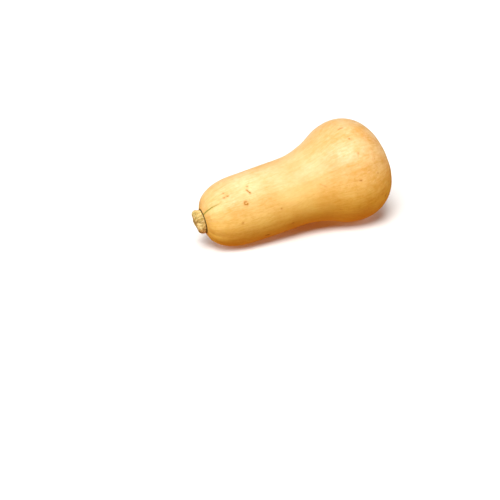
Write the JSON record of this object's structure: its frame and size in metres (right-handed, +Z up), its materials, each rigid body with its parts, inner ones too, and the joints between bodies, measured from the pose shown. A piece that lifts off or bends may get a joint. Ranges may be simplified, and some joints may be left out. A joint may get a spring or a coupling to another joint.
{
  "type": "butternut squash",
  "caption": "Whole butternut squash lying on its side: a tan fruit with a straight neck, a swollen seed bulb, shallow ribs, a corky blossom scar and a short cut stem.",
  "frame": {"origin": "on the surface that the squash lies on, under the middle of its box", "axes": "+Z up, +X along the fruit from the stem to the blossom end"},
  "size_m": [0.2266, 0.1168, 0.1139],
  "materials": {
    "rind": "satin, thin natural wax over a hard tan rind",
    "stem_wood": "matt, dry and corky"
  },
  "bodies": {
    "root": {"fruit": "rind", "stem": "stem_wood"}
  },
  "joints": []
}
